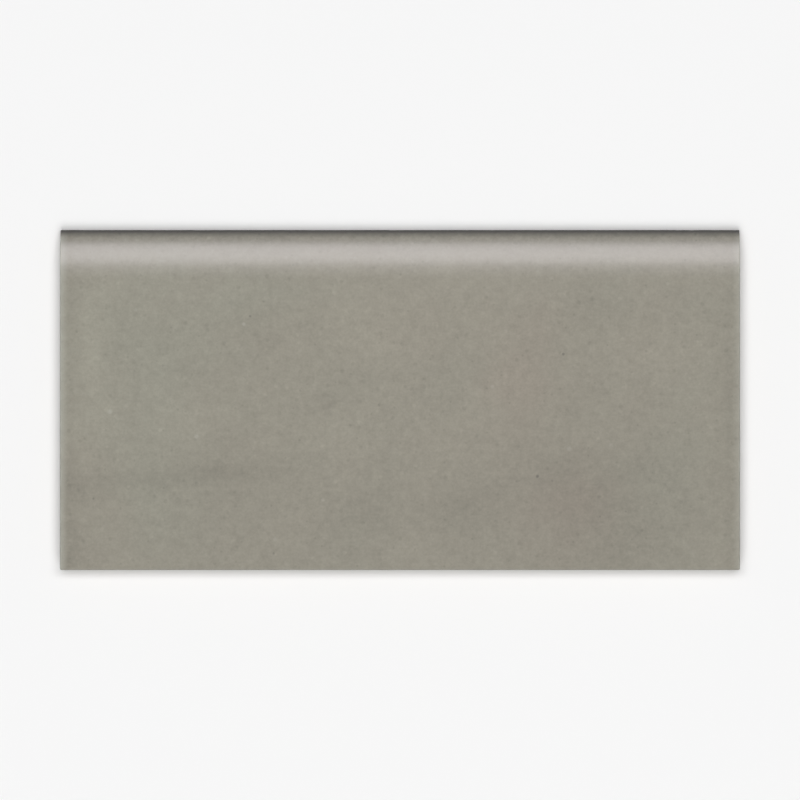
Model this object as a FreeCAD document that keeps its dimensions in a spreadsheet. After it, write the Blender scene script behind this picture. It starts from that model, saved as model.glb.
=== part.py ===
"""Bullnose wall tile: one pressed and fired piece, glazed face up, rounded long edge towards +Y.

Millimetres. The origin is the middle of the back, +X runs along the tile's length and +Z points out of
the glazed face.
"""

import FreeCAD, Part
import math
import os

import Sketcher

DIMENSIONS = {
    "tile_length": 152.4,  # along X, across the two short ends
    "tile_width": 76.2,  # along Y, from the square long edge to the bullnose
    "tile_thickness": 8.0,  # from the ribs of the back to the glazed face
    "bullnose_reach": 11.0,  # how far the rounding comes in over the face
    "nose_radius": 4.0,  # the tighter curve at the outer edge of the rounding
    "edge_land": 1.0,  # upright strip left under the rounding
    "face_arris": 0.4,  # soft edge round the glazed face
    "side_draft": 1.5,  # degrees, lets the pressed tile leave its die
    "back_bevel": 0.6,  # bevel round the back
    "back_margin": 7.0,  # plain rim round the key grooves
    "groove_width": 3.0,
    "groove_pitch": 6.0,
    "groove_depth": 0.8,
    "groove_flare": 20.0,  # degrees, how far the groove walls lean open
}
SHEET = "dimensions"
NODE = "bullnose_tile"
TOUCH = 1e-4  # two heights closer than this are the same
LEAN = f"tan({SHEET}.side_draft)"  # how far a square side leans in for each millimetre of depth

# How a sketch numbers its own origin and its level axis
ORIGIN = (-1, 1)
LEVEL = -1


def size(name):
    """An expression that reads one cell of the sheet."""
    return f"{SHEET}.{name}"


def make_sheet(doc):
    """The driving dimensions, one named cell each."""
    sheet = doc.addObject("Spreadsheet::Sheet", SHEET)
    for row, (name, value) in enumerate(DIMENSIONS.items(), start=1):
        sheet.set(f"A{row}", name)
        sheet.set(f"B{row}", str(value))
        sheet.setAlias(f"B{row}", name)
    doc.recompute()
    return sheet


def origin_plane(body, role):
    return next(plane for plane in body.Origin.OriginFeatures if plane.Role == role)


def new_sketch(body, name, role):
    """An empty sketch on one of the body's origin planes."""
    sketch = body.newObject("Sketcher::SketchObject", name)
    sketch.AttachmentSupport = [(origin_plane(body, role), "")]
    sketch.MapMode = "FlatFace"
    return sketch


def constrain(sketch, name, expression, kind, *where):
    """A dimension of the sketch that follows the sheet."""
    index = sketch.addConstraint(Sketcher.Constraint(kind, *where))
    sketch.renameConstraint(index, name)
    sketch.setExpression(f"Constraints.{name}", expression)


def start_of(line):
    """The sketch's name for the point where a line or an arc starts."""
    return line, 1


def end_of(line):
    return line, 2


def centre_of(line):
    return line, 3


def join(sketch, kind, before, after):
    """Joins the end of one line or arc to the start of the next."""
    sketch.addConstraint(Sketcher.Constraint(kind, *end_of(before), *start_of(after)))


def point(x, y):
    return FreeCAD.Vector(x, y, 0)


def arc(centre, radius, start_angle, end_angle):
    circle = Part.Circle(centre, FreeCAD.Vector(0, 0, 1), radius)
    return Part.ArcOfCircle(circle, start_angle, end_angle)


def draw_section(body, sheet):
    """The tile's section across its width: back, land, nose, shoulder, face and square side.

    The rounding is a wide shoulder arc that leaves the face smoothly and runs into the tighter nose arc,
    which runs into the land.
    """
    half_width = sheet.tile_width / 2
    top = sheet.tile_thickness
    land = sheet.edge_land
    reach = sheet.bullnose_reach
    nose = sheet.nose_radius
    drop = top - land
    shoulder = ((reach - nose) ** 2 + drop**2 - nose**2) / (2 * (drop - nose))
    meet_angle = math.atan2(shoulder - drop, reach - nose)
    nose_centre = point(half_width - nose, land)
    shoulder_centre = point(half_width - reach, top - shoulder)

    lean = math.tan(math.radians(sheet.side_draft))
    side_top = point(-half_width - sheet.face_arris * lean, top)
    side_foot = point(-half_width + (top - sheet.face_arris) * lean, 0)

    sketch = new_sketch(body, "section", "YZ_Plane")
    back = sketch.addGeometry(Part.LineSegment(side_foot, point(half_width, 0)))
    land_line = sketch.addGeometry(Part.LineSegment(point(half_width, 0), point(half_width, land)))
    nose_arc = sketch.addGeometry(arc(nose_centre, nose, 0, meet_angle))
    shoulder_arc = sketch.addGeometry(arc(shoulder_centre, shoulder, meet_angle, math.pi / 2))
    face = sketch.addGeometry(Part.LineSegment(point(half_width - reach, top), side_top))
    side = sketch.addGeometry(Part.LineSegment(side_top, side_foot))

    for line in (back, face):
        sketch.addConstraint(Sketcher.Constraint("Horizontal", line))
    sketch.addConstraint(Sketcher.Constraint("Vertical", land_line))
    for before, after in ((back, land_line), (face, side), (side, back)):
        join(sketch, "Coincident", before, after)
    for before, after in ((land_line, nose_arc), (nose_arc, shoulder_arc), (shoulder_arc, face)):
        join(sketch, "Tangent", before, after)
    sketch.addConstraint(Sketcher.Constraint("PointOnObject", *start_of(back), LEVEL))

    half = f"{size('tile_width')} / 2"
    over = f"{half} + {size('face_arris')} * {LEAN}"
    under = f"{half} - ({size('tile_thickness')} - {size('face_arris')}) * {LEAN}"
    constrain(sketch, "bullnose_side", half, "DistanceX", *ORIGIN, *end_of(back), half_width)
    constrain(sketch, "square_side_top", over, "DistanceX", *start_of(side), *ORIGIN, -side_top.x)
    constrain(sketch, "square_side_foot", under, "DistanceX", *end_of(side), *ORIGIN, -side_foot.x)
    constrain(sketch, "thickness", size("tile_thickness"), "DistanceY", *end_of(side), *start_of(side), top)
    constrain(sketch, "land", size("edge_land"), "DistanceY", *start_of(land_line), *end_of(land_line), land)
    constrain(sketch, "reach", size("bullnose_reach"), "DistanceX", *start_of(face), *end_of(back), reach)
    constrain(sketch, "nose", size("nose_radius"), "Radius", nose_arc, nose)
    return sketch


def edge_names(shape, edges):
    """The names that a feature uses for some of a shape's edges."""
    return [
        f"Edge{number}"
        for number, edge in enumerate(shape.Edges, start=1)
        if any(edge.isSame(wanted) for wanted in edges)
    ]


def square_sides(shape):
    """The three upright flat sides, which are the two ends and the long side opposite the bullnose."""
    upright = 0.9  # how far along X or Y the normal of such a side points at least
    sides = []
    for face in shape.Faces:
        normal = face.normalAt(0, 0)
        is_end = abs(normal.x) > upright
        is_long_side = normal.y < -upright
        if is_end or is_long_side:
            sides.append(face)
    return sides


def press_block(body, section):
    """The section run along the tile's length, a little past both ends."""
    block = body.newObject("PartDesign::Pad", "pressed_block")
    block.Profile = section
    block.SideType = "Symmetric"
    block.setExpression("Length", f"{size('tile_length')} + {size('tile_thickness')}")
    body.Document.recompute()


def trim_ends(body, sheet):
    """The two ends cut to the tile's length, leaning in towards the back like the square side.

    The tile is widest just under its soft face edge, so the cut crosses the exact length there.
    """
    top = sheet.tile_thickness
    lean = math.tan(math.radians(sheet.side_draft))
    half_length = sheet.tile_length / 2
    low = point(half_length - (2 * top - sheet.face_arris) * lean, -top)
    high = point(half_length + (top + sheet.face_arris) * lean, 2 * top)
    outside = half_length + top

    sketch = new_sketch(body, "end_outline", "XZ_Plane")
    floor_line = sketch.addGeometry(Part.LineSegment(low, point(outside, -top)))
    outer = sketch.addGeometry(Part.LineSegment(point(outside, -top), point(outside, 2 * top)))
    roof = sketch.addGeometry(Part.LineSegment(point(outside, 2 * top), high))
    end = sketch.addGeometry(Part.LineSegment(high, low))
    for before, after in ((floor_line, outer), (outer, roof), (roof, end), (end, floor_line)):
        join(sketch, "Coincident", before, after)
    for line in (floor_line, roof):
        sketch.addConstraint(Sketcher.Constraint("Horizontal", line))
    sketch.addConstraint(Sketcher.Constraint("Vertical", outer))

    half = f"{size('tile_length')} / 2"
    thick = size("tile_thickness")
    foot = f"{half} - (2 * {thick} - {size('face_arris')}) * {LEAN}"
    head = f"{half} + ({thick} + {size('face_arris')}) * {LEAN}"
    constrain(sketch, "foot", foot, "DistanceX", *ORIGIN, *end_of(end), low.x)
    constrain(sketch, "head", head, "DistanceX", *ORIGIN, *start_of(end), high.x)
    constrain(sketch, "outside", f"{half} + {thick}", "DistanceX", *ORIGIN, *start_of(outer), outside)
    constrain(sketch, "below", thick, "DistanceY", *end_of(end), *ORIGIN, top)
    constrain(sketch, "above", f"2 * {thick}", "DistanceY", *ORIGIN, *start_of(end), 2 * top)
    body.Document.recompute()

    trim = body.newObject("PartDesign::Pocket", "trimmed_end")
    trim.Profile = sketch
    trim.SideType = "Symmetric"
    trim.setExpression("Length", f"2 * {size('tile_width')}")
    body.Document.recompute()

    ends = body.newObject("PartDesign::Mirrored", "trimmed_ends")
    ends.Originals = [trim]
    ends.MirrorPlane = (origin_plane(body, "YZ_Plane"), [""])
    body.Tip = ends
    body.Document.recompute()
    return ends


def bevel_back(body, block):
    """The bevel round the back."""
    at_back = [edge for edge in block.Shape.Edges if edge.BoundBox.ZMax < TOUCH]
    bevel = body.newObject("PartDesign::Chamfer", "back_bevel")
    bevel.Base = (block, edge_names(block.Shape, at_back))
    bevel.setExpression("Size", size("back_bevel"))
    body.Document.recompute()
    return bevel


def soften_face(body, block, sheet):
    """The soft edge round the face, which also runs down the corners and over both ends of the rounding."""
    above_bevel = sheet.back_bevel + TOUCH
    rims = [
        edge
        for face in square_sides(block.Shape)
        for edge in face.Edges
        if edge.BoundBox.ZMax > above_bevel
    ]
    soft = body.newObject("PartDesign::Fillet", "face_arris")
    soft.Base = (block, edge_names(block.Shape, rims))
    soft.setExpression("Radius", size("face_arris"))
    body.Document.recompute()


def cut_key_grooves(body, sheet):
    """The long flared grooves that key the back into its adhesive, as many as fit between the rims."""
    room = f"({size('tile_width')} - 2 * {size('back_margin')} - {size('groove_width')})"
    count = f"floor({room} / {size('groove_pitch')}) + 1"
    first_place = f"({count} - 1) * {size('groove_pitch')} / 2"
    straight_half = f"{size('tile_length')} / 2 - {size('back_margin')} - {size('groove_width')} / 2"

    radius = sheet.groove_width / 2
    reach = sheet.tile_length / 2 - sheet.back_margin - radius
    spare = sheet.tile_width - 2 * sheet.back_margin - sheet.groove_width
    place = -math.floor(spare / sheet.groove_pitch) * sheet.groove_pitch / 2
    low, high = place - radius, place + radius

    sketch = new_sketch(body, "key_groove_outline", "XY_Plane")
    lower = sketch.addGeometry(Part.LineSegment(point(-reach, low), point(reach, low)))
    right = sketch.addGeometry(arc(point(reach, place), radius, -math.pi / 2, math.pi / 2))
    upper = sketch.addGeometry(Part.LineSegment(point(reach, high), point(-reach, high)))
    left = sketch.addGeometry(arc(point(-reach, place), radius, math.pi / 2, 3 * math.pi / 2))
    for before, after in ((lower, right), (right, upper), (upper, left), (left, lower)):
        join(sketch, "Tangent", before, after)
    sketch.addConstraint(Sketcher.Constraint("Horizontal", lower))
    sketch.addConstraint(Sketcher.Constraint("Equal", left, right))
    constrain(sketch, "end_radius", f"{size('groove_width')} / 2", "Radius", right, radius)
    constrain(sketch, "left_end", straight_half, "DistanceX", *centre_of(left), *ORIGIN, reach)
    constrain(sketch, "right_end", straight_half, "DistanceX", *ORIGIN, *centre_of(right), reach)
    constrain(sketch, "first_place", first_place, "DistanceY", *centre_of(right), *ORIGIN, -place)
    body.Document.recompute()

    groove = body.newObject("PartDesign::Pocket", "key_groove")
    groove.Profile = sketch
    groove.Reversed = True
    groove.setExpression("Length", size("groove_depth"))
    groove.setExpression("TaperAngle", f"-{size('groove_flare')}")
    body.Document.recompute()

    grooves = body.newObject("PartDesign::LinearPattern", "key_grooves")
    grooves.Originals = [groove]
    grooves.Direction = (sketch, ["V_Axis"])
    grooves.Mode = "Spacing"
    grooves.setExpression("Offset", size("groove_pitch"))
    grooves.setExpression("Occurrences", count)
    body.Tip = grooves
    body.Document.recompute()


def make_tile(doc, sheet):
    """The whole tile as one body."""
    body = doc.addObject("PartDesign::Body", NODE)
    body.Label = NODE
    press_block(body, draw_section(body, sheet))
    bevelled = bevel_back(body, trim_ends(body, sheet))
    soften_face(body, bevelled, sheet)
    cut_key_grooves(body, sheet)
    body.Placement = FreeCAD.Placement()
    doc.recompute()
    return body


def check(doc, body):
    """Stops if anything in the document failed to build."""
    failed = [item.Name for item in doc.Objects if {"Invalid", "Error"} & set(item.State)]
    if failed:
        raise RuntimeError(f"these objects failed: {failed}")
    shape = body.Shape
    if shape.isNull() or not shape.isValid() or len(shape.Solids) != 1:
        raise RuntimeError(f"{body.Label} is not one valid solid")


def main():
    doc = FreeCAD.newDocument("bullnose_tile")
    sheet = make_sheet(doc)
    tile = make_tile(doc, sheet)
    check(doc, tile)
    os.makedirs("parts", exist_ok=True)
    tile.Shape.exportStep(f"parts/{tile.Label}.step")
    box = tile.Shape.optimalBoundingBox(False, False)
    print(f"{tile.Label}: {box.XLength:.3f} x {box.YLength:.3f} x {box.ZLength:.3f} mm")
    print(f"volume {tile.Shape.Volume / 1000:.2f} cm3, {len(tile.Shape.Faces)} faces")


main()
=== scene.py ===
"""A satin-glazed bullnose wall tile, lying face up on a pale floor and seen from straight above.

The tile is one pressed piece. Geometry Nodes run its section along its length, turn the glaze
over the edges and cut the key grooves of the back. One material carries the glaze of the face
and the bare fired clay past its edge.
"""

import bpy
import math
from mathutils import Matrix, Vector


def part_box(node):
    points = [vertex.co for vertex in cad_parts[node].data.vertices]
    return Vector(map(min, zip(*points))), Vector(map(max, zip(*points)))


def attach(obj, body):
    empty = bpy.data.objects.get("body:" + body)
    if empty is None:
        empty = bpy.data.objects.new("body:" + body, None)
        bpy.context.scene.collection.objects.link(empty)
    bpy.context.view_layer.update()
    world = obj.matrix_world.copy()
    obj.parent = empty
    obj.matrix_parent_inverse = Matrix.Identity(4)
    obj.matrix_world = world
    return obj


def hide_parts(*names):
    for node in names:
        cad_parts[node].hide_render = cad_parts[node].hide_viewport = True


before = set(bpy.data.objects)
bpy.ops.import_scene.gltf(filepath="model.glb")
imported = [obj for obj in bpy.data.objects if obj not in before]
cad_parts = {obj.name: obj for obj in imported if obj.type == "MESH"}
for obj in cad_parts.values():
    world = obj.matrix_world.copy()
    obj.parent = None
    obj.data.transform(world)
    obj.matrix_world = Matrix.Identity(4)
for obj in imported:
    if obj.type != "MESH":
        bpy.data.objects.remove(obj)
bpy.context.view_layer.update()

MM = 0.001
NODE = "bullnose_tile"
LOW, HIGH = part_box(NODE)

# Sizes of the tile in millimetres, as the solid has them
LENGTH = (HIGH[0] - LOW[0]) / MM
WIDTH = (HIGH[1] - LOW[1]) / MM
THICKNESS = (HIGH[2] - LOW[2]) / MM
BULLNOSE_REACH = 11.0
NOSE_RADIUS = 4.0
EDGE_LAND = 1.0
FACE_ARRIS = 0.4
SIDE_DRAFT = 1.5  # degrees
BACK_BEVEL = 0.6
BACK_MARGIN = 7.0
GROOVE_WIDTH = 3.0
GROOVE_PITCH = 6.0
GROOVE_DEPTH = 0.8
GROOVE_FLARE = 20.0  # degrees

# Finer edges than the solid has, in millimetres
NOSE_END_ARRIS = 0.14  # the soft edge of the face, where it runs down the ends of the rounding
NOSE_END_BLEND = 4.0  # how far into the rounding the face's own soft edge narrows to that
BEVEL_SOFTNESS = 0.18  # rounding of the bevel's two corners, which are sharp in the solid

# How the glaze lies on the tile, in millimetres
GLAZE_RUN = 1.0  # how far it runs over the square edges
GLAZE_RUN_SWING = 1.5  # how unevenly it ends there
GLAZE_EDGE = 0.09  # how softly it ends
GLAZE_BUILD = 0.09  # how far the glaze stands above the bare clay
BUILD_HEIGHTS = (0.05, 0.5)  # heights between which that step fades in, as the back stays flat
FOOT_BARE = 0.85  # height of the bare foot under the rounded edge
FACE_WAVE = 0.035  # how far the face rises and falls
WAVE_SINK = 0.7  # the share of the wave by which the whole face lies lower
WAVE_FACING = (0.3, 0.95)  # how far upwards a face has to point to take the wave
BACK_OVER = 20.0  # how far past the glaze's edge the back counts as lying
BACK_INSET = 2.0  # the rim along the back's edges that keeps its own distance instead
BACK_HEIGHT = 2.0  # the height under which a point belongs to the back

# Noises of the tile's shape: features in a metre, detail, roughness and strength
FACE_WAVES = ((55.0, 1.0, 0.5, 1.0), (190.0, 1.0, 0.5, 0.35))
RAGGED_EDGE = ((160.0, 2.0, 0.5, 1.4), (900.0, 2.0, 0.5, 0.45))

# Fineness of the mesh
FACE_STEPS = 92
SHOULDER_STEPS = 22
NOSE_STEPS = 12
SIDE_STEPS = 14
CORNER_STEPS = 4
GROOVE_END_STEPS = 9
ARRIS_RINGS = 6
END_RINGS = 9
END_RING_STEP = 0.06  # millimetres by which the spacing of an end's rings grows from ring to ring
END_ROOM = 0.8  # the share of the way to the tile's core that the rings may take up
STATIONS = 190
CROWDING = 0.82  # how much closer together the stations lie towards the edges
SIDE_CROWDING = 0.3  # the same for the points up the square side
GROOVE_FILLET = 0.999  # the share of half its width that rounds the end of a groove
CUTTER_START = 0.3  # millimetres under the back where the groove cutters begin
WELD = 0.001  # millimetres within which points become one
SMOOTH_ANGLE = 40  # degrees, past which an edge is shown sharp

# Picture
PHOTO_PIXELS = 800
TILE_PIXELS = 680
PIXEL = LENGTH / TILE_PIXELS  # millimetres of tile in one pixel of the photograph
CAMERA_HEIGHT = 0.6  # metres


# Node trees

class Wire:
    """An output of a node. Arithmetic on it adds Math nodes to its tree."""

    def __init__(self, tree, socket):
        self.tree = tree
        self.socket = socket

    def other_output(self, key):
        return Wire(self.tree, find_socket(self.socket.node.outputs, key))

    def math(self, operation, *others):
        return math_node(self.tree, operation, self, *others)

    def __add__(self, other):
        return self.math("ADD", other)

    def __sub__(self, other):
        return self.math("SUBTRACT", other)

    def __rsub__(self, other):
        return math_node(self.tree, "SUBTRACT", other, self)

    def __mul__(self, other):
        return self.math("MULTIPLY", other)

    def __truediv__(self, other):
        return self.math("DIVIDE", other)

    def __neg__(self):
        return self.math("MULTIPLY", -1.0)

    def __abs__(self):
        return self.math("ABSOLUTE")

    def __gt__(self, other):
        return self.math("GREATER_THAN", other)

    def __lt__(self, other):
        return self.math("LESS_THAN", other)

    __radd__ = __add__
    __rmul__ = __mul__


def add_node(tree, kind, settings=None, inputs=None, output=0):
    """Adds a node, sets it up, joins its inputs and gives one of its outputs.

    An input is named by its socket's place, identifier or name. It takes a plain value, a Wire,
    or a list of Wires where the socket holds several.
    """
    node = tree.nodes.new(kind)
    for name, value in (settings or {}).items():
        setattr(node, name, value)
    for key, value in (inputs or {}).items():
        socket = find_socket(node.inputs, key)
        if isinstance(value, Wire):
            tree.links.new(value.socket, socket)
        elif isinstance(value, list):
            for wire in value:
                tree.links.new(wire.socket, socket)
        else:
            socket.default_value = value
    return Wire(tree, find_socket(node.outputs, output)) if node.outputs else None


def find_socket(sockets, key):
    if isinstance(key, int):
        return sockets[key]
    return next(socket for socket in sockets if key in (socket.identifier, socket.name))


def math_node(tree, operation, *values):
    return add_node(tree, "ShaderNodeMath", {"operation": operation}, dict(enumerate(values)))


def clamped(value, low, high):
    return value.math("MAXIMUM", low).math("MINIMUM", high)


def added(values):
    """The sum of several values."""
    first, *others = values
    for value in others:
        first = first + value
    return first


def smooth_step(value, low, high):
    """0 below low, 1 above high, with a smooth rise between. With low above high it falls."""
    settings = {"interpolation_type": "SMOOTHSTEP", "clamp": True}
    flipped = low > high
    inputs = {
        "Value": value,
        "From Min": min(low, high),
        "From Max": max(low, high),
        "To Min": 1.0 if flipped else 0.0,
        "To Max": 0.0 if flipped else 1.0,
    }
    return add_node(value.tree, "ShaderNodeMapRange", settings, inputs, "Result")


def bell(value, middle, spread):
    """1 where the value is at the middle, fading out to both sides of it."""
    offset = (value - middle) / spread
    return (-(offset * offset)).math("EXPONENT")


def noise(vector, scale, detail, roughness):
    """Soft noise from about -0.5 to 0.5."""
    inputs = {"Vector": vector, "Scale": scale, "Detail": detail, "Roughness": roughness}
    return add_node(vector.tree, "ShaderNodeTexNoise", {"noise_dimensions": "3D"}, inputs) - 0.5


def layered_noise(place, layers):
    """The sum of the noises in a table: features in a metre, detail, roughness and strength."""
    parts = []
    for scale, detail, roughness, strength in layers:
        parts.append(noise(place, scale, detail, roughness) * strength)
    return added(parts)


def scaled(vector, factor):
    inputs = {"Vector": vector, "Scale": factor}
    return add_node(vector.tree, "ShaderNodeVectorMath", {"operation": "SCALE"}, inputs)


def joined(tree, x, y, z):
    return add_node(tree, "ShaderNodeCombineXYZ", None, {"X": x, "Y": y, "Z": z})


def split(vector):
    x = add_node(vector.tree, "ShaderNodeSeparateXYZ", None, {0: vector}, "X")
    return x, x.other_output("Y"), x.other_output("Z")


def between(choice, first, second):
    """A number between two others: the first for a choice of 0 and the second for 1."""
    inputs = {"Factor_Float": choice, "A_Float": first, "B_Float": second}
    return add_node(choice.tree, "ShaderNodeMix", {"data_type": "FLOAT"}, inputs, "Result_Float")


def mixed(factor, first, second):
    """A colour between two colours, each a Wire or three plain numbers."""
    ends = [end if isinstance(end, Wire) else (*end, 1.0) for end in (first, second)]
    inputs = {"Factor_Float": factor, "A_Color": ends[0], "B_Color": ends[1]}
    return add_node(factor.tree, "ShaderNodeMix", {"data_type": "RGBA"}, inputs, "Result_Color")


# The tile's section

def crowded(start, end, steps, crowding):
    """Places from start to end that lie closer together towards both."""
    places = []
    for step in range(steps + 1):
        share = step / steps
        share -= crowding * math.sin(2 * math.pi * share) / (2 * math.pi)
        places.append(start + (end - start) * share)
    return places


def arc_points(centre, radius, start, end, steps):
    """Points on an arc, with its angles in radians from +Y towards +Z."""
    points = []
    for step in range(steps + 1):
        angle = start + (end - start) * step / steps
        points.append((centre[0] + radius * math.cos(angle), centre[1] + radius * math.sin(angle)))
    return points


def round_corner(before, corner, after, radius, steps):
    """The points that round a convex corner of the section."""
    to_before = math.atan2(before[1] - corner[1], before[0] - corner[0])
    to_after = math.atan2(after[1] - corner[1], after[0] - corner[0])
    opening = (to_before - to_after) % (2 * math.pi)
    if opening > math.pi:
        opening = 2 * math.pi - opening
    middle = math.atan2(
        math.sin(to_before) + math.sin(to_after),
        math.cos(to_before) + math.cos(to_after),
    )
    reach = radius / math.sin(opening / 2)
    centre = (corner[0] + reach * math.cos(middle), corner[1] + reach * math.sin(middle))
    half_turn = (math.pi - opening) / 2
    outward = middle + math.pi
    return arc_points(centre, radius, outward + half_turn, outward - half_turn, steps)


def section_points():
    """The section, clockwise seen from +X: back, square side, face, rounding and foot.

    Each point is (y, z, over), where over says how far past the edge of the face it lies.
    """
    lean = math.tan(math.radians(SIDE_DRAFT))
    half = WIDTH / 2
    drop = THICKNESS - EDGE_LAND
    flat = BULLNOSE_REACH - NOSE_RADIUS
    shoulder_radius = (flat**2 + drop**2 - NOSE_RADIUS**2) / (2 * (drop - NOSE_RADIUS))
    meet_angle = math.atan2(shoulder_radius - drop, flat)

    side_foot = -half + (THICKNESS - FACE_ARRIS) * lean
    bevel_top = (side_foot - BACK_BEVEL * lean, BACK_BEVEL)
    bevel_foot = (side_foot + BACK_BEVEL, 0.0)
    face_edge = (-half - FACE_ARRIS * lean, THICKNESS)
    face_end = (half - BULLNOSE_REACH, THICKNESS)
    land_foot = (half, BACK_BEVEL)
    land_top = (half, EDGE_LAND)
    nose_foot = (half - BACK_BEVEL, 0.0)
    shoulder_centre = (face_end[0], THICKNESS - shoulder_radius)
    nose_centre = (half - NOSE_RADIUS, EDGE_LAND)

    back = round_corner(nose_foot, bevel_foot, bevel_top, BEVEL_SOFTNESS, CORNER_STEPS)
    low_corner = round_corner(bevel_foot, bevel_top, face_edge, BEVEL_SOFTNESS, CORNER_STEPS)
    arris = round_corner(bevel_top, face_edge, face_end, FACE_ARRIS, ARRIS_RINGS)
    side_start, side_end = low_corner[-1], arris[0]
    side = []
    for share in crowded(0.0, 1.0, SIDE_STEPS, SIDE_CROWDING)[1:-1]:
        side.append(tuple(a + (b - a) * share for a, b in zip(side_start, side_end)))
    face_places = crowded(arris[-1][0], face_end[0], FACE_STEPS, CROWDING)
    face = [(y, THICKNESS) for y in face_places[1:]]
    shoulder = arc_points(shoulder_centre, shoulder_radius, math.pi / 2, meet_angle, SHOULDER_STEPS)
    nose = arc_points(nose_centre, NOSE_RADIUS, meet_angle, 0.0, NOSE_STEPS)
    land = round_corner(land_top, land_foot, nose_foot, BEVEL_SOFTNESS, CORNER_STEPS)
    foot = round_corner(land_foot, nose_foot, bevel_foot, BEVEL_SOFTNESS, CORNER_STEPS)

    half_way = ARRIS_RINGS // 2
    edge_height = arris[half_way][1]
    points = [(y, z, edge_height - z) for y, z in back + low_corner + side + arris[:half_way]]
    points += [(y, z, -half - y) for y, z in arris[half_way:] + face]
    for y, z in shoulder[1:] + nose[1:] + land + foot:
        points.append((y, z, GLAZE_RUN + FOOT_BARE - z))
    return points


def section_object():
    """The section as a loose loop of edges, with each point's distance past the face's edge."""
    points = section_points()
    count = len(points)
    edges = [(number, (number + 1) % count) for number in range(count)]
    mesh = bpy.data.meshes.new("tile_section")
    mesh.from_pydata([(0.0, y * MM, z * MM) for y, z, _ in points], edges, [])
    over = mesh.attributes.new("over_edge", "FLOAT", "POINT")
    over.data.foreach_set("value", [over_edge * MM for _, _, over_edge in points])
    obj = bpy.data.objects.new("glazed_tile", mesh)
    bpy.context.scene.collection.objects.link(obj)
    return obj


# Geometry Nodes

def new_geometry_tree(name, sizes):
    """A tree that takes and gives geometry, with a named input for each size, and its inputs."""
    tree = bpy.data.node_groups.new(name, "GeometryNodeTree")
    tree.interface.new_socket("Geometry", in_out="INPUT", socket_type="NodeSocketGeometry")
    tree.interface.new_socket("Geometry", in_out="OUTPUT", socket_type="NodeSocketGeometry")
    for label, value in sizes.items():
        kind = "NodeSocketInt" if isinstance(value, int) else "NodeSocketFloat"
        tree.interface.new_socket(label, in_out="INPUT", socket_type=kind)
    entry = add_node(tree, "NodeGroupInput")
    inputs = {label: entry.other_output(label) for label in ("Geometry", *sizes)}
    return tree, inputs


def run_tree(obj, tree, sizes):
    """Puts a tree on an object with its sizes, and turns the result into a plain mesh."""
    modifier = obj.modifiers.new(tree.name, "NODES")
    modifier.node_group = tree
    for item in tree.interface.items_tree:
        if item.in_out == "INPUT" and item.name in sizes:
            modifier[item.identifier] = sizes[item.name]
    shaped = obj.evaluated_get(bpy.context.evaluated_depsgraph_get())
    mesh = bpy.data.meshes.new_from_object(shaped)
    obj.modifiers.remove(modifier)
    obj.data = mesh


def attribute(tree, name, kind="FLOAT"):
    settings = {"data_type": kind}
    return add_node(tree, "GeometryNodeInputNamedAttribute", settings, {"Name": name}, "Attribute")


def stored(geometry, name, value, kind="FLOAT", selection=True):
    settings = {"data_type": kind, "domain": "POINT"}
    inputs = {"Geometry": geometry, "Selection": selection, "Name": name, "Value": value}
    return add_node(geometry.tree, "GeometryNodeStoreNamedAttribute", settings, inputs)


def moved(geometry, **where):
    """The geometry with its points at a new Position or moved by an Offset."""
    inputs = {"Geometry": geometry, **where}
    return add_node(geometry.tree, "GeometryNodeSetPosition", None, inputs)


def swept_tube(tree, sizes, section):
    """Runs the section along a row of stations, and notes each point's outline and station."""
    outline = add_node(tree, "GeometryNodeInputPosition")
    marked = stored(section, "outline", outline, "FLOAT_VECTOR")
    profile = add_node(tree, "GeometryNodeMeshToCurve", None, {"Mesh": marked})
    line = add_node(
        tree,
        "GeometryNodeMeshLine",
        {"mode": "OFFSET", "count_mode": "TOTAL"},
        {"Count": sizes["Stations"], "Offset": (MM, 0.0, 0.0)},
    )
    numbered = stored(line, "station", add_node(tree, "GeometryNodeInputIndex"))
    path = add_node(tree, "GeometryNodeMeshToCurve", None, {"Mesh": numbered})
    inside_out = add_node(
        tree,
        "GeometryNodeCurveToMesh",
        None,
        {"Curve": path, "Profile Curve": profile, "Fill Caps": True},
    )
    return add_node(tree, "GeometryNodeFlipFaces", None, {"Mesh": inside_out})


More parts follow.
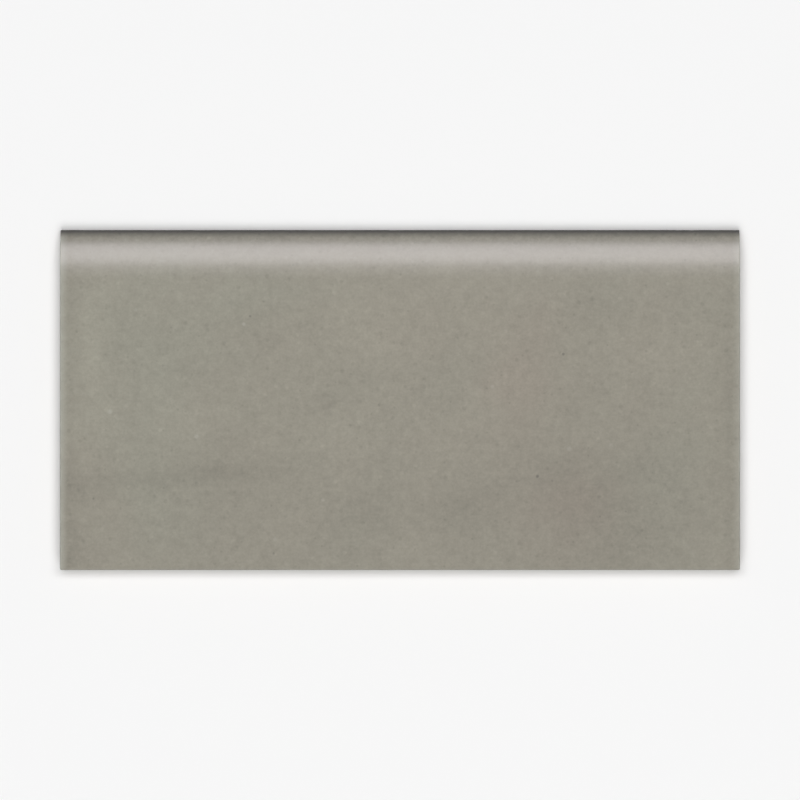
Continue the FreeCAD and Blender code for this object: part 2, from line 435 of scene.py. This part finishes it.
def shape_body(tree, sizes, tube):
    """Spaces the stations along the length, and rounds and closes the two ends with the rest."""
    thickness = sizes["Thickness"]
    face_arris = sizes["Face arris"]
    ring_step = sizes["End ring step"]
    half_length = sizes["Length"] * 0.5
    station = attribute(tree, "station")
    last = sizes["Stations"] - 1.0
    middle = last * 0.5
    from_end = station.math("MINIMUM", last - station)
    side = (station > middle) * 2.0 - 1.0
    _, outline_y, outline_z = split(attribute(tree, "outline", "FLOAT_VECTOR"))
    nose_start = WIDTH / 2 - BULLNOSE_REACH
    rounding = smooth_step(outline_y, nose_start * MM, (nose_start + NOSE_END_BLEND) * MM)
    arris = between(rounding, face_arris, sizes["Nose end arris"])

    turn = clamped((from_end - END_RINGS) / ARRIS_RINGS, 0.0, 1.0) * (math.pi / 2)
    past_arris = arris * (1.0 - turn.math("COSINE"))
    share = (station - middle) / (middle - (END_RINGS + ARRIS_RINGS))
    spread = share + sizes["Crowding"] * (share * math.pi).math("SINE") / math.pi
    on_face = spread * (half_length - face_arris)
    at_end = from_end < (END_RINGS + ARRIS_RINGS + 0.5)
    along = between(at_end, on_face, side * (half_length - past_arris))

    middle_height = thickness * 0.5
    spine_end = sizes["Width"] * 0.5 - middle_height
    to_spine_y = clamped(outline_y, -spine_end, spine_end) - outline_y
    to_spine_z = middle_height - outline_z
    distance = (to_spine_y * to_spine_y + to_spine_z * to_spine_z).math("SQRT")
    ring = clamped(END_RINGS - from_end, 0.0, END_RINGS)
    deepest = ring_step * (END_RINGS * (END_RINGS + 1) / 2)
    room = ((distance * END_ROOM - arris) / deepest).math("MINIMUM", 1.0)
    end_depth = (ring * ring * 0.5 * ring_step + ring * 0.5 * ring_step) * room
    pull = (arris * (1.0 - turn.math("SINE")) + end_depth) / distance
    height = outline_z + to_spine_z * pull
    under_arris = (height - (thickness - face_arris)).math("MINIMUM", 0.0)
    lean = under_arris * math.tan(math.radians(SIDE_DRAFT)) / half_length
    placed = joined(tree, along * (1.0 + lean), outline_y + to_spine_y * pull, height)
    shaped = moved(tube, Position=placed)

    inside_arris = from_end > (END_RINGS + ARRIS_RINGS - 0.5)
    round_arris = arris * (math.pi / 4 - turn) + end_depth
    over_end = between(inside_arris, round_arris, abs(on_face) - half_length)
    return stored(shaped, "over_edge", attribute(tree, "over_edge").math("MAXIMUM", over_end))


def lay_glaze(tree, sizes, body):
    """Lets the face rise and fall a little, and sinks the bare clay under the glaze's edge."""
    place = add_node(tree, "GeometryNodeInputPosition")
    normal = add_node(tree, "GeometryNodeInputNormal")
    _, _, height = split(place)
    _, _, up = split(normal)
    wave = layered_noise(place, FACE_WAVES) - WAVE_SINK
    sink = wave * sizes["Face wave"] * smooth_step(up, *WAVE_FACING)
    waved = moved(body, Offset=joined(tree, 0.0, 0.0, sink))
    low, high = BUILD_HEIGHTS
    bare = bare_clay(attribute(tree, "over_edge") / MM, place)
    depth = bare * smooth_step(height, low * MM, high * MM) * sizes["Glaze build"]
    return moved(waved, Offset=scaled(normal, -depth))


def bare_clay(over, place):
    """1 where the clay shows past the glaze's uneven edge, and 0 on the glaze.

    over is the distance past the face's edge in millimetres.
    """
    uneven = over + layered_noise(place, RAGGED_EDGE) * GLAZE_RUN_SWING
    return smooth_step(uneven, GLAZE_RUN - GLAZE_EDGE, GLAZE_RUN + GLAZE_EDGE)


def groove_cutter(tree, sizes):
    """A block in the shape of one flared groove with round ends, at the middle of the back."""
    radius = sizes["Groove width"] * 0.5
    reach = sizes["Length"] - sizes["Back margin"] * 2.0
    outline = add_node(
        tree,
        "GeometryNodeCurvePrimitiveQuadrilateral",
        {"mode": "RECTANGLE"},
        {"Width": reach, "Height": sizes["Groove width"]},
    )
    rounded = add_node(
        tree,
        "GeometryNodeFilletCurve",
        {"mode": "POLY"},
        {
            "Curve": outline,
            "Count": GROOVE_END_STEPS,
            "Radius": radius * GROOVE_FILLET,
            "Limit Radius": True,
        },
    )
    mouth = add_node(tree, "GeometryNodeFillCurve", {"mode": "NGONS"}, {"Curve": rounded})
    below = CUTTER_START * MM
    lowered = moved(mouth, Offset=(0.0, 0.0, -below))
    upward = joined(tree, 0.0, 0.0, sizes["Groove depth"] + below)
    raised = add_node(
        tree,
        "GeometryNodeExtrudeMesh",
        {"mode": "FACES"},
        {"Mesh": lowered, "Offset": upward, "Offset Scale": 1.0, "Individual": False},
    )
    floor = add_node(tree, "GeometryNodeFlipFaces", None, {"Mesh": lowered})
    block = add_node(tree, "GeometryNodeJoinGeometry", None, {"Geometry": [floor, raised]})
    weld = {"Geometry": block, "Distance": WELD * MM}
    closed = add_node(tree, "GeometryNodeMergeByDistance", None, weld)

    x, y, z = split(add_node(tree, "GeometryNodeInputPosition"))
    straight = reach * 0.5 - radius
    spine = clamped(x, -straight, straight)
    flare = 1.0 - z * math.tan(math.radians(GROOVE_FLARE)) / radius
    return moved(closed, Position=joined(tree, spine + (x - spine) * flare, y * flare, z))


def cut_grooves(tree, sizes, tile):
    """Cuts an even row of grooves into the back, and marks the back as bare clay."""
    pitch = sizes["Groove pitch"]
    room = sizes["Width"] - sizes["Back margin"] * 2.0 - sizes["Groove width"]
    gaps = (room / pitch).math("FLOOR")
    row = add_node(
        tree,
        "GeometryNodeMeshLine",
        {"mode": "OFFSET", "count_mode": "TOTAL"},
        {
            "Count": gaps + 1.0,
            "Start Location": joined(tree, 0.0, gaps * pitch * -0.5, 0.0),
            "Offset": joined(tree, 0.0, pitch, 0.0),
        },
    )
    planted = {"Points": row, "Instance": groove_cutter(tree, sizes)}
    copies = add_node(tree, "GeometryNodeInstanceOnPoints", None, planted)
    cutters = add_node(tree, "GeometryNodeRealizeInstances", None, {"Geometry": copies})
    cut = add_node(
        tree,
        "GeometryNodeMeshBoolean",
        {"operation": "DIFFERENCE", "solver": "MANIFOLD"},
        {"Mesh 1": tile, "Mesh 2": cutters},
    )
    x, y, z = split(add_node(tree, "GeometryNodeInputPosition"))
    inset = BACK_INSET * MM
    inner = (abs(x) < sizes["Length"] * 0.5 - inset) * (abs(y) < sizes["Width"] * 0.5 - inset)
    on_back = inner * (z < BACK_HEIGHT * MM)
    return stored(cut, "over_edge", BACK_OVER * MM, selection=on_back)


def tile_tree(material, sizes):
    """The whole tile from its section."""
    tree, inputs = new_geometry_tree("pressed_tile", sizes)
    body = shape_body(tree, inputs, swept_tube(tree, inputs, inputs["Geometry"]))
    grooved = cut_grooves(tree, inputs, lay_glaze(tree, inputs, body))
    smooth_faces = add_node(
        tree,
        "GeometryNodeSetShadeSmooth",
        {"domain": "FACE"},
        {"Geometry": grooved, "Shade Smooth": True},
    )
    angle = add_node(tree, "GeometryNodeInputMeshEdgeAngle", None, None, "Unsigned Angle")
    smooth = add_node(
        tree,
        "GeometryNodeSetShadeSmooth",
        {"domain": "EDGE"},
        {"Geometry": smooth_faces, "Shade Smooth": angle < math.radians(SMOOTH_ANGLE)},
    )
    real = add_node(tree, "GeometryNodeRealizeInstances", None, {"Geometry": smooth})
    finish = {"Geometry": real, "Material": material}
    coloured = add_node(tree, "GeometryNodeSetMaterial", None, finish)
    add_node(tree, "NodeGroupOutput", None, {"Geometry": coloured})
    return tree


# Materials

GLAZE_GREEN = (0.2629, 0.2562, 0.2088)  # where the glaze leans to green
GLAZE_WARM = (0.2714, 0.2466, 0.2031)  # where it leans to pink
GLAZE_THIN_AND_EDGE_LIGHT = (0.42, 0.42, 0.37)  # where it thins over the pale clay, and painted light on the rounded edges at the ends and the side
NOSE_PAINTED_SHADE = (0.036, 0.035, 0.033)  # painted shade on the lower part of the rounding, where it turns away from the light
SPECK_DARK = (0.07, 0.068, 0.06)
SPECK_PALE = (0.52, 0.51, 0.46)
CLAY_PALE = (0.70, 0.64, 0.54)
CLAY_DARK = (0.55, 0.48, 0.39)
CLAY_GROG = (0.38, 0.30, 0.22)
KILN_WASH = (0.78, 0.77, 0.73)  # the white powder that the back's ribs pick up in the kiln
FACE_ROUGHNESS = 0.66  # the flat face, which dries matt
NOSE_ROUGHNESS = 0.33  # the rounding, where the glaze runs smooth
FOOT_DRYNESS = 0.4  # how much rougher the glaze is low on the nose
CLAY_ROUGHNESS = 0.86
GLAZE_IOR = 1.5
LEVEL = 0.0147  # the share by which one step of 256 changes the glaze's brightness

# Noises of the finish: features in a metre, detail, roughness and strength
CLOUD_WANDER = ((70.0, 2.0, 0.5, 1.0),)
CLOUD_MOTTLE = ((34.0, 3.0, 0.8, 11.0),)
FLECK_GRAIN = ((560.0, 2.0, 0.95, 31.0),)
TINT_WANDER = ((90.0, 2.0, 0.5, 12.0),)
TINT_DRIFT = ((60.0, 3.0, 0.5, 0.5),)
RAGGED_ENDS = ((300.0, 2.0, 0.5, 0.5),)
# the ragged top of the painted shade on the rounding
RAGGED_NOSE_SHADE = ((400.0, 2.0, 0.5, 0.35),)
GLOSS_DRIFT = ((180.0, 2.0, 0.5, 0.03),)
GLAZE_PEEL = ((420.0, 2.0, 0.5, 0.32), (1500.0, 2.0, 0.5, 0.08))
CLAY_TONES = ((45.0, 3.0, 0.5, 0.9), (1100.0, 3.0, 0.8, 1.5))
CLAY_GRAIN = ((1500.0, 4.0, 0.7, 1.0),)
PRESS_STREAKS = ((1300.0, 3.0, 0.6, 1.0),)
WASH_PATCHES = ((75.0, 4.0, 0.65, 1.0),)

# Specks strewn at random: cells in a metre, share of them with a speck, radius in metres, strength
FINE_FLECKS = (
    (430.0, 0.50, 0.00062, -6.0),
    (390.0, 0.42, 0.00060, 5.2),
    (620.0, 0.22, 0.00036, -8.0),
)
STREWN_DARK = ((95.0, 0.14, 0.00019, 0.6),)
STREWN_PALE = ((130.0, 0.10, 0.00022, 0.5),)
GROG_GRAINS = ((420.0, 0.32, 0.00042, 0.55),)
CLAY_PITS = ((700.0, 0.35, 0.0003, 0.5),)

# Soft places in the glaze: x, y, reach along and across in mm, turn in degrees, steps lighter
GLAZE_CLOUDS = (
    (-69.3, 13.5, 3, 13, 0, 4.0),
    (-67, -3.5, 5, 5, 0, 2.0),
    (-49, -5.5, 7, 6, 0, 2.5),
    (-7.5, 15.5, 9, 7, 0, 2.2),
    (-15.5, -9, 8, 6, 0, 1.5),
    (-8, 0.5, 7, 5, 0, 0.9),
    (20.5, 1, 4, 4, 0, 2.6),
    (21.5, 13.5, 5, 5, 0, 1.2),
    (59.5, 11, 10, 6, 0, 1.6),
    (3.5, -32.5, 8, 3.5, 0, 1.4),
    (-45, -29, 28, 10, 0, 0.6),
    (20, -31, 20, 8, 0, -0.8),
    (-56, -17.5, 22, 2.2, 2, -2.6),
    (-41, -17, 7, 2.6, 0, -1.8),
    (-73.5, -19.5, 4, 4, 0, -3.0),
    (-74.5, -32.5, 3, 7, 0, -2.0),
    (-30, 13.5, 5, 1.8, 0, -2.0),
    (-16.7, -1.9, 2.8, 0.65, 22, -5.8),
    (-18.2, 0.2, 1.5, 0.8, 0, -4.2),
    (-13.6, 3.2, 1.2, 0.8, 0, -2.2),
    (-10.4, -0.6, 2.2, 0.8, 10, -1.5),
    (-7.5, -26, 9, 5, 0, -1.8),
    (15, -23.5, 7, 4.5, 15, -3.6),
    (36, -12, 30, 22, 0, -0.8),
    (34, -9.5, 15, 4.5, 0, -0.8),
    (38, -18, 13, 7, 0, -2.4),
    (45, -30, 12, 14, 0, -3.2),
    (67, -21, 12, 16, 0, -0.7),
    (46, 0, 10, 8, 0, -1.8),
    (41.5, 20, 9, 5, 0, -1.6),
    (59.5, 23.5, 6, 4, 0, -1.2),
    (73.5, 3.5, 3, 7, 0, -2.0),
)
CLOUD_GAIN = 1.8  # how much stronger all of them are than listed
CLOUD_SHIFT = (7.0, 5.0)  # millimetres by which their wander moves them along x and y
LOW_DIMNESS = -1.2  # steps lighter of the part of the face away from the rounding
LOW_PLACES = (-6.0, -17.0)  # y where that starts and is complete
LOW_SHIFT = 8.0  # millimetres by which the same wander moves that

# Places where the glaze leans to pink or, below zero, to green, in the same form
GLAZE_TINTS = (
    (27, 6, 8, 14, 0, 0.45),
    (37, -24, 10, 9, 20, 0.5),
    (-58, 12, 24, 22, 0, -0.45),
    (60, -18, 12, 18, 0, -0.2),
    (-56, -20, 9, 16, 0, -0.3),
    (-30, 24, 18, 5, 0, -0.2),
)

# Specks in the glaze: x, y and radius in millimetres, and how strong each is
DARK_SPECKS = (
    (-33.6, 18.8, 0.30, 0.7),
    (36.6, 10.3, 0.36, 0.8),
    (46.5, 12.3, 0.26, 0.4),
    (16.2, 8.7, 0.26, 0.3),
    (30.8, -17.1, 0.38, 0.9),
    (-68.7, -22.1, 0.32, 0.6),
    (50.6, -25.0, 0.28, 0.4),
    (44.8, -26.1, 0.30, 0.4),
    (57.5, -23.2, 0.30, 0.4),
    (-28.3, -34.4, 0.32, 0.5),
    (35.9, 31.7, 0.28, 0.3),
    (63.9, 31.4, 0.28, 0.3),
    (-69.8, -35.9, 0.28, 0.3),
)
PALE_SPECKS = (
    (-35.0, 17.0, 0.46, 0.75),
    (-65.0, -2.6, 0.62, 0.65),
    (-45.6, -8.2, 0.60, 0.55),
    (20.7, 3.0, 0.48, 0.42),
    (37.9, -10.9, 0.62, 0.42),
    (47.3, -10.1, 0.60, 0.25),
    (-28.0, -31.2, 0.50, 0.38),
    (-17.3, -22.4, 0.46, 0.36),
    (-59.2, 20.2, 0.46, 0.38),
)
SPECK_RIM = (1.25, 0.35)  # shares of its radius between which a speck fades in
STREWN_CORE = 0.4  # the share of its radius where a strewn speck is full
PALE_COVER = 0.30  # how much of the glaze the strongest pale speck hides
DARK_COVER = 0.62

# The rounding in millimetres: distances from its edge, and heights above the back
SMOOTH_GLAZE = (20.0, 8.0)  # distances between which the glaze turns from matt to smooth
SMOOTH_DEEPER = 0.03  # how much darker the smooth glaze is
NOSE_PLACES = (6.0, 4.0)  # distances between which the nose begins
CALM_PLACE = 5.2  # distance where the flecks are faintest
CALM_SPREAD = 2.1
CALM_SHARE = 0.4
LIVELY_PLACES = (3.2, 2.2)  # distances between which they grow stronger again
LIVELY_SHARE = 0.45
BEND_PAINTED_LIGHT = 4.5  # height of a band of painted light along the nose
BEND_PAINTED_LIGHT_SPREAD = 0.55
BEND_PAINTED_LIGHT_GAIN = 0.13
NOSE_SHADE_HEIGHTS = (4.62, 2.25)  # heights between which the painted shade on the rounding grows from nothing to full
NOSE_SHADE_COVER = 0.92
DRY_HEIGHTS = (4.2, 2.6)  # heights between which the glaze turns dry

# Where the glaze is thin and shows the clay, and painted light on the rounded edges: distances from
# the edge in millimetres, and shares
THIN_ENDS = (1.9, 0.1)
THIN_ENDS_SHARE = 0.24
THIN_LEFT_MORE = 0.2  # what the left end has more
THIN_RIM_AND_EDGE_LIGHT = (0.45, 0.0)  # right at the ends, partly thin glaze and partly painted light on the rounded edge there
THIN_RIM_AND_EDGE_LIGHT_SHARE = 0.5
# along the square side, partly thin glaze and partly painted light on its rounded edge
THIN_SIDE_AND_EDGE_LIGHT = (0.55, 0.1)
THIN_SIDE_AND_EDGE_LIGHT_SHARE = 0.2
TROUGH_PLACE = 2.4  # the darker line beside the thin ends
TROUGH_SPREAD = 1.1
TROUGH_STEPS = 2.6

# The bare clay
STREAK_SQUASH = 0.06  # how much more slowly the press streaks change upwards than sideways
STREAK_TONE = 0.8
STREAK_RELIEF = 0.5
RIB_HEIGHTS = (0.14, 0.05)  # heights in millimetres between which the kiln wash clings
WASH_FADE = (-0.16, 0.1)  # values of the noise where its patches begin and are full
WASH_LEAST = 0.2
WASH_PATCH = 0.6
RELIEF = 0.02  # millimetres of fine relief
CLAY_RELIEF = 2.6  # how much coarser the clay is than the glaze


def soft_spot(x, y, centre_x, centre_y, along, across, turn):
    """1 at the middle of an oval place on the face, fading out past its reach."""
    cosine = math.cos(math.radians(turn))
    sine = math.sin(math.radians(turn))
    beside = x - centre_x
    above = y - centre_y
    first = (beside * cosine + above * sine) / along
    second = (above * cosine - beside * sine) / across
    return (-(first * first + second * second)).math("EXPONENT")


def all_spots(x, y, spots):
    """The sum of several soft places, each with its own strength."""
    return added([soft_spot(x, y, *spot) * strength for *spot, strength in spots])


def placed_specks(x, y, specks):
    """The strength of the strongest of a list of small round specks, 0 away from them."""
    strongest = None
    outer, inner = SPECK_RIM
    for centre_x, centre_y, radius, strength in specks:
        beside = x - centre_x
        above = y - centre_y
        distance = (beside * beside + above * above).math("SQRT")
        speck = smooth_step(distance, radius * outer, radius * inner) * strength
        strongest = speck if strongest is None else strongest.math("MAXIMUM", speck)
    return strongest


def strewn_specks(place, kinds):
    """The sum of the specks in a table, strewn at random."""
    settings = {"voronoi_dimensions": "3D", "feature": "F1"}
    parts = []
    for scale, share, radius, strength in kinds:
        inputs = {"Vector": place, "Scale": scale, "Randomness": 1.0}
        distance = add_node(place.tree, "ShaderNodeTexVoronoi", settings, inputs, "Distance")
        pick, _, _ = split(distance.other_output("Color"))
        size = radius * scale
        speck = smooth_step(distance, size, size * STREWN_CORE) * (pick < share)
        parts.append(speck * strength)
    return added(parts)


def near_nose(y, places):
    """Rises from 0 to 1 towards the rounded edge, between two distances from it."""
    far, near = places
    return smooth_step(y, WIDTH / 2 - far, WIDTH / 2 - near)


def glaze_tone(place, x, y):
    """How bright the glaze is from place to place, about 1."""
    wander = layered_noise(place, CLOUD_WANDER)
    shift_x, shift_y = CLOUD_SHIFT
    clouds = all_spots(x + wander * shift_x, y + wander * shift_y, GLAZE_CLOUDS)
    clouds = clouds + smooth_step(y + wander * LOW_SHIFT, *LOW_PLACES) * LOW_DIMNESS
    clouds = clouds * CLOUD_GAIN + layered_noise(place, CLOUD_MOTTLE)
    end_distance = LENGTH / 2 - abs(x)
    clouds = clouds - bell(end_distance, TROUGH_PLACE, TROUGH_SPREAD) * TROUGH_STEPS

    flecks = layered_noise(place, FLECK_GRAIN) + strewn_specks(place, FINE_FLECKS)
    from_nose = WIDTH / 2 - y
    calm = bell(from_nose, CALM_PLACE, CALM_SPREAD) * CALM_SHARE
    lively = smooth_step(from_nose, *LIVELY_PLACES) * LIVELY_SHARE
    flecks = flecks * (1.0 - calm + lively)
    return 1.0 + (clouds + flecks) * LEVEL


def thin_glaze_and_edge_light(place, x, y):
    """How much of the clay's paleness shows where the glaze thins at the ends and the side, with
    painted light on the rounded edges right at the ends and along the side.
    """
    end_distance = LENGTH / 2 - abs(x) + layered_noise(place, RAGGED_ENDS)
    left = x < 0.0
    ends = smooth_step(end_distance, *THIN_ENDS) * (THIN_ENDS_SHARE + left * THIN_LEFT_MORE)
    # the rim and side shares are partly thin glaze and partly painted light on the rounded edges
    ends = ends + smooth_step(end_distance, *THIN_RIM_AND_EDGE_LIGHT) * THIN_RIM_AND_EDGE_LIGHT_SHARE
    side = smooth_step(y + WIDTH / 2, *THIN_SIDE_AND_EDGE_LIGHT) * THIN_SIDE_AND_EDGE_LIGHT_SHARE
    return ends.math("MAXIMUM", side)


def glaze_colour(place, x, y, z):
    """The grey glaze with its drifts of tint, thin edges with painted edge light, a band of painted
    light and painted shade on the rounding, and specks.
    """
    wander = layered_noise(place, TINT_WANDER)
    tint = 0.5 + all_spots(x + wander, y + wander, GLAZE_TINTS) + layered_noise(place, TINT_DRIFT)
    drift = mixed(clamped(tint, 0.0, 1.0), GLAZE_GREEN, GLAZE_WARM)
    deeper = near_nose(y, SMOOTH_GLAZE) * SMOOTH_DEEPER
    body = scaled(drift, glaze_tone(place, x, y) * (1.0 - deeper))
    # thin glaze at the edges, with painted light on the rounded edges at the ends and the side
    body = mixed(thin_glaze_and_edge_light(place, x, y), body, GLAZE_THIN_AND_EDGE_LIGHT)

    on_nose = near_nose(y, NOSE_PLACES)
    # painted light: a paler band along the middle of the nose
    bend_light = bell(z, BEND_PAINTED_LIGHT, BEND_PAINTED_LIGHT_SPREAD) * on_nose
    body = scaled(body, 1.0 + bend_light * BEND_PAINTED_LIGHT_GAIN)
    # painted shade: the lower part of the rounding darkened to near black
    nose_shade = smooth_step(z + layered_noise(place, RAGGED_NOSE_SHADE), *NOSE_SHADE_HEIGHTS) * on_nose
    body = mixed(nose_shade * NOSE_SHADE_COVER, body, NOSE_PAINTED_SHADE)

    dark = placed_specks(x, y, DARK_SPECKS).math("MAXIMUM", strewn_specks(place, STREWN_DARK))
    pale = placed_specks(x, y, PALE_SPECKS).math("MAXIMUM", strewn_specks(place, STREWN_PALE))
    body = mixed(pale * PALE_COVER, body, SPECK_PALE)
    return mixed(dark * DARK_COVER, body, SPECK_DARK)


def press_streaks(place):
    """Faint upright streaks that the press leaves on the sides."""
    x, y, z = split(place)
    return layered_noise(joined(place.tree, x, y, z * STREAK_SQUASH), PRESS_STREAKS)


def clay_colour(place, z):
    """Pale fired clay with grog in it, streaks up its sides and kiln wash on the back's ribs."""
    tone = 0.5 + layered_noise(place, CLAY_TONES) + press_streaks(place) * STREAK_TONE
    clay = mixed(clamped(tone, 0.0, 1.0), CLAY_DARK, CLAY_PALE)
    clay = mixed(strewn_specks(place, GROG_GRAINS), clay, CLAY_GROG)
    rib = smooth_step(z, *RIB_HEIGHTS)
    patchy = smooth_step(layered_noise(place, WASH_PATCHES), *WASH_FADE)
    return mixed(rib * (WASH_LEAST + patchy * WASH_PATCH), clay, KILN_WASH)


def fired_tile_material():
    """Satin glaze where it covers the tile, and bare fired clay past its edge."""
    material = bpy.data.materials.new("glazed_clay")
    tree = empty_tree(material)
    place = add_node(tree, "ShaderNodeTexCoord", None, None, "Object")
    x, y, z = split(scaled(place, 1 / MM))
    over = add_node(tree, "ShaderNodeAttribute", {"attribute_name": "over_edge"}, None, "Fac")
    bare = bare_clay(over / MM, place)
    colour = mixed(bare, glaze_colour(place, x, y, z), clay_colour(place, z))

    dry_foot = smooth_step(z, *DRY_HEIGHTS) * near_nose(y, NOSE_PLACES)
    gloss = FACE_ROUGHNESS + near_nose(y, SMOOTH_GLAZE) * (NOSE_ROUGHNESS - FACE_ROUGHNESS)
    gloss = gloss + layered_noise(place, GLOSS_DRIFT) + dry_foot * FOOT_DRYNESS
    roughness = gloss + bare * (CLAY_ROUGHNESS - gloss)

    peel = layered_noise(place, GLAZE_PEEL)
    grain = layered_noise(place, CLAY_GRAIN) + press_streaks(place) * STREAK_RELIEF
    grain = grain - strewn_specks(place, CLAY_PITS)
    relief = add_node(
        tree,
        "ShaderNodeBump",
        None,
        {
            "Strength": 1.0,
            "Distance": RELIEF * MM,
            "Height": peel * (1.0 - bare) + grain * bare * CLAY_RELIEF,
        },
    )
    shader = add_node(
        tree,
        "ShaderNodeBsdfPrincipled",
        None,
        {
            "Base Color": colour,
            "Roughness": clamped(roughness, 0.0, 1.0),
            "IOR": GLAZE_IOR,
            "Normal": relief,
        },
    )
    add_node(tree, "ShaderNodeOutputMaterial", None, {"Surface": shader})
    return material


def empty_tree(owner):
    """The node tree of a material or a world, with nothing in it."""
    owner.use_nodes = True
    owner.node_tree.nodes.clear()
    return owner.node_tree


# Stage

FLOOR_COLOUR = 0.927
FLOOR_HALF = 3.0  # metres
FLOOR_HEIGHT = -0.02 * MM  # a hair under the tile's back
FLOOR_BOUNCE = 0.3  # what the floor gives back to the tile's sides
BACKDROP = 0.93
FILL_SHARE = 0.17  # how much of the light on the floor is plain fill
KEY_GAIN = 1.079  # lifts the softboxes until the floor is as bright as in the photograph

# Softboxes that light the tile: name, y and size along y in metres
SOFTBOXES = (
    ("overhead_softbox", 0.87, 1.8),
    ("front_softbox", -2.95, 4.4),
)
SOFTBOX_HEIGHT = 6.0  # metres
SOFTBOX_LENGTH = 3.7

# Strips that show in the glaze: name, degrees from overhead, width in metres and brightness
STRIPS = (
    ("nose_strip", 50.9, 1.54, 7.4),
    ("shoulder_strip", 18.5, 0.42, 2.2),
)
STRIP_LENGTH = 1.1  # metres
STRIP_DISTANCE = 2.0
STRIP_TINT = (0.985, 0.935, 0.98)


def seen_directly(tree):
    """1 for what is seen, itself or through a reflection, and 0 for light that bounces about."""
    camera = add_node(tree, "ShaderNodeLightPath", None, None, "Is Camera Ray")
    mirrored = camera.math("MAXIMUM", camera.other_output("Is Glossy Ray"))
    return mirrored.math("MAXIMUM", camera.other_output("Is Transmission Ray"))


def pale_floor():
    """A plain floor under the tile."""
    mesh = bpy.data.meshes.new("floor")
    signs = ((-1, -1), (1, -1), (1, 1), (-1, 1))
    corners = [(x * FLOOR_HALF, y * FLOOR_HALF, FLOOR_HEIGHT) for x, y in signs]
    mesh.from_pydata(corners, [], [(0, 1, 2, 3)])
    floor = bpy.data.objects.new("floor", mesh)
    bpy.context.scene.collection.objects.link(floor)
    material = bpy.data.materials.new("floor_paint")
    tree = empty_tree(material)
    shade = FLOOR_BOUNCE + seen_directly(tree) * (FLOOR_COLOUR - FLOOR_BOUNCE)
    paint = {"Color": joined(tree, shade, shade, shade)}
    shader = add_node(tree, "ShaderNodeBsdfDiffuse", None, paint)
    add_node(tree, "ShaderNodeOutputMaterial", None, {"Surface": shader})
    mesh.materials.append(material)


def hang_softboxes():
    """Soft elliptical lamps that face the tile and light it, unseen in the glaze.

    Each gives its share of what makes a white floor white.
    """
    share = (1.0 - FILL_SHARE) / len(SOFTBOXES) * KEY_GAIN
    for name, y, width in SOFTBOXES:
        distance = math.hypot(y, SOFTBOX_HEIGHT)
        lamp = bpy.data.lights.new(name, "AREA")
        lamp.shape = "ELLIPSE"
        lamp.size = SOFTBOX_LENGTH
        lamp.size_y = width
        lamp.energy = share * math.pi**2 * distance**3 / SOFTBOX_HEIGHT
        hang_lamp(lamp, y, SOFTBOX_HEIGHT, diffuse=True, glossy=False)


def hang_strips():
    """Long lamps behind the rounded edge that show only as reflections in the glaze."""
    for name, tilt, width, brightness in STRIPS:
        lamp = bpy.data.lights.new(name, "AREA")
        lamp.shape = "RECTANGLE"
        lamp.size = STRIP_LENGTH
        lamp.size_y = width
        lamp.energy = brightness * math.pi * STRIP_LENGTH * width
        lamp.color = STRIP_TINT
        y = STRIP_DISTANCE * math.sin(math.radians(tilt))
        z = STRIP_DISTANCE * math.cos(math.radians(tilt))
        hang_lamp(lamp, y, z, diffuse=False, glossy=True)


def hang_lamp(lamp, y, z, diffuse, glossy):
    """Hangs a lamp over the middle of the length so that it faces the tile."""
    obj = bpy.data.objects.new(lamp.name, lamp)
    obj.location = (0.0, y, z)
    obj.rotation_euler = (math.atan2(-y, z), 0.0, 0.0)
    obj.visible_diffuse = diffuse
    obj.visible_glossy = glossy
    bpy.context.scene.collection.objects.link(obj)


def studio_world():
    """A plain dim fill that the camera and the glaze see as a white backdrop."""
    world = bpy.data.worlds.new("studio")
    bpy.context.scene.world = world
    tree = empty_tree(world)
    strength = FILL_SHARE + seen_directly(tree) * (BACKDROP - FILL_SHARE)
    light = {"Color": (1.0, 1.0, 1.0, 1.0), "Strength": strength}
    shader = add_node(tree, "ShaderNodeBackground", None, light)
    add_node(tree, "ShaderNodeOutputWorld", None, {"Surface": shader})


def overhead_camera():
    """A camera straight above the tile, with the tile as large as in the photograph."""
    scene = bpy.context.scene
    camera_data = bpy.data.cameras.new("camera")
    camera_data.type = "ORTHO"
    camera_data.ortho_scale = PIXEL * PHOTO_PIXELS * MM
    camera = bpy.data.objects.new("camera", camera_data)
    camera.location = (0.0, 0.0, CAMERA_HEIGHT)
    scene.collection.objects.link(camera)
    scene.camera = camera


def make_tile():
    """The tile, riding on its body in place of its solid."""
    sizes = {
        "Length": LENGTH * MM,
        "Width": WIDTH * MM,
        "Thickness": THICKNESS * MM,
        "Face arris": FACE_ARRIS * MM,
        "Nose end arris": NOSE_END_ARRIS * MM,
        "End ring step": END_RING_STEP * MM,
        "Stations": STATIONS,
        "Crowding": CROWDING,
        "Face wave": FACE_WAVE * MM,
        "Glaze build": GLAZE_BUILD * MM,
        "Back margin": BACK_MARGIN * MM,
        "Groove width": GROOVE_WIDTH * MM,
        "Groove pitch": GROOVE_PITCH * MM,
        "Groove depth": GROOVE_DEPTH * MM,
    }
    tile = section_object()
    run_tree(tile, tile_tree(fired_tile_material(), sizes), sizes)
    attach(tile, "root")
    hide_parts(NODE)


def main():
    bpy.context.scene.view_settings.view_transform = "Standard"
    make_tile()
    pale_floor()
    hang_softboxes()
    hang_strips()
    studio_world()
    overhead_camera()


main()
